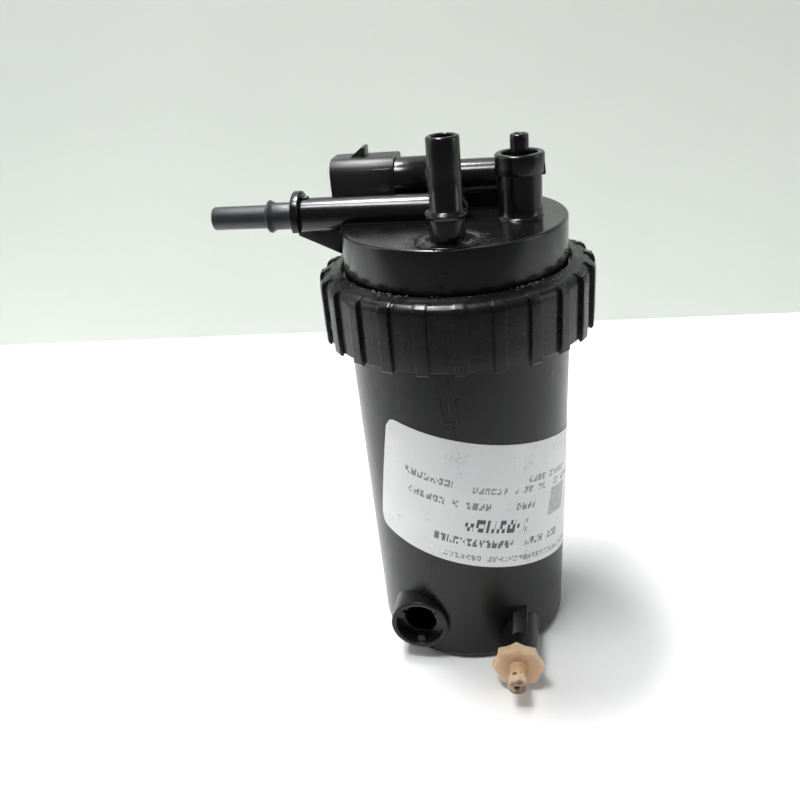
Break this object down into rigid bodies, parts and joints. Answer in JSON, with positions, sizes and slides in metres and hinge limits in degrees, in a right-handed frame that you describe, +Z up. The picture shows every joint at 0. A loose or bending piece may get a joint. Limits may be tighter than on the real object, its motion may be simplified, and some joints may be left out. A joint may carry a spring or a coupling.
{
  "type": "fuel filter",
  "caption": "Upright diesel fuel filter with a screw-ring head, quick-connect spigots, heater socket, sensor port and hand drain.",
  "frame": {"origin": "centre of the bowl's base face, where the filter stands", "axes": "+Z up along the bowl's axis; the side spigot points along -X; the sensor port and the drain point along -Y, the front"},
  "size_m": [0.1292, 0.1053, 0.1904],
  "materials": {
    "bowl_plastic": "satin moulded nylon",
    "head_plastic": "oily moulded nylon",
    "ring_plastic": "moulded nylon with dust in the corners",
    "spigot_plastic": "satin conductive nylon",
    "drain_nylon": "natural nylon, stained by fuel",
    "label_paper": "printed paper, smudged",
    "seal_rubber": "smooth nitrile",
    "connector_rubber": "smooth silicone",
    "valve_plastic": "acetal",
    "steel": "drawn wire and turned parts",
    "tin_plate": "tinned blades",
    "ceramic": "fired ceramic",
    "contact_brass": "rolled brass",
    "inner_plastic": "moulded nylon",
    "filter_paper": "pleated resin-treated paper"
  },
  "bodies": {
    "bowl": {"bowl": "bowl_plastic", "label": "label_paper"},
    "drain_travel": {"drain_seal": "seal_rubber"},
    "drain_screw": {"drain_screw": "drain_nylon"},
    "head": {"head": "head_plastic", "head_seal": "seal_rubber", "side_spigot": "spigot_plastic", "side_spigot_seal": "seal_rubber", "top_spigot": "head_plastic", "valve_seat": "steel", "return_nozzle": "head_plastic", "valve_cap": "head_plastic", "valve_spring": "steel", "heater_housing": "head_plastic", "connector_shell": "head_plastic", "connector_seal": "connector_rubber", "terminal_pins": "tin_plate", "heater_end_plug": "head_plastic", "ptc_tablets": "ceramic", "contact_strips": "contact_brass", "standpipe": "inner_plastic", "element_top_seal": "seal_rubber", "element_top_cap": "inner_plastic", "element_media": "filter_paper", "element_core": "inner_plastic", "element_bottom_cap": "inner_plastic"},
    "lock_ring": {"lock_ring": "ring_plastic"},
    "valve_plunger": {"valve_plunger": "valve_plastic"}
  },
  "joints": [
    {"name": "head_lift", "type": "slide", "parent": "bowl", "child": "head", "axis": [0, 0, 1], "range_m": [0, 0.009]},
    {"name": "ring_turn", "type": "hinge", "parent": "head", "child": "lock_ring", "pos_m": [0, 0, 0.1385], "axis": [0, 0, 1], "range_deg": [0, 540.1]},
    {"name": "drain_travel", "type": "slide", "parent": "bowl", "child": "drain_travel", "axis": [0, -1, 0], "range_m": [0, 0.003]},
    {"name": "drain_turn", "type": "hinge", "parent": "drain_travel", "child": "drain_screw", "pos_m": [0.0206, -0.0444, 0.0108], "axis": [0, -1, 0], "range_deg": [0, 720.1]},
    {"name": "valve_lift", "type": "slide", "parent": "head", "child": "valve_plunger", "axis": [0, 0, 1], "range_m": [0, 0.0015], "stiffness_N_per_m": 300, "springref_m": -0.003, "deforming": ["valve_spring"]}
  ],
  "couplings": [
    {"joint": "ring_turn", "follows": "head_lift", "rad_per_m": 1047.2},
    {"joint": "drain_turn", "follows": "drain_travel", "rad_per_m": 4188.8}
  ]
}
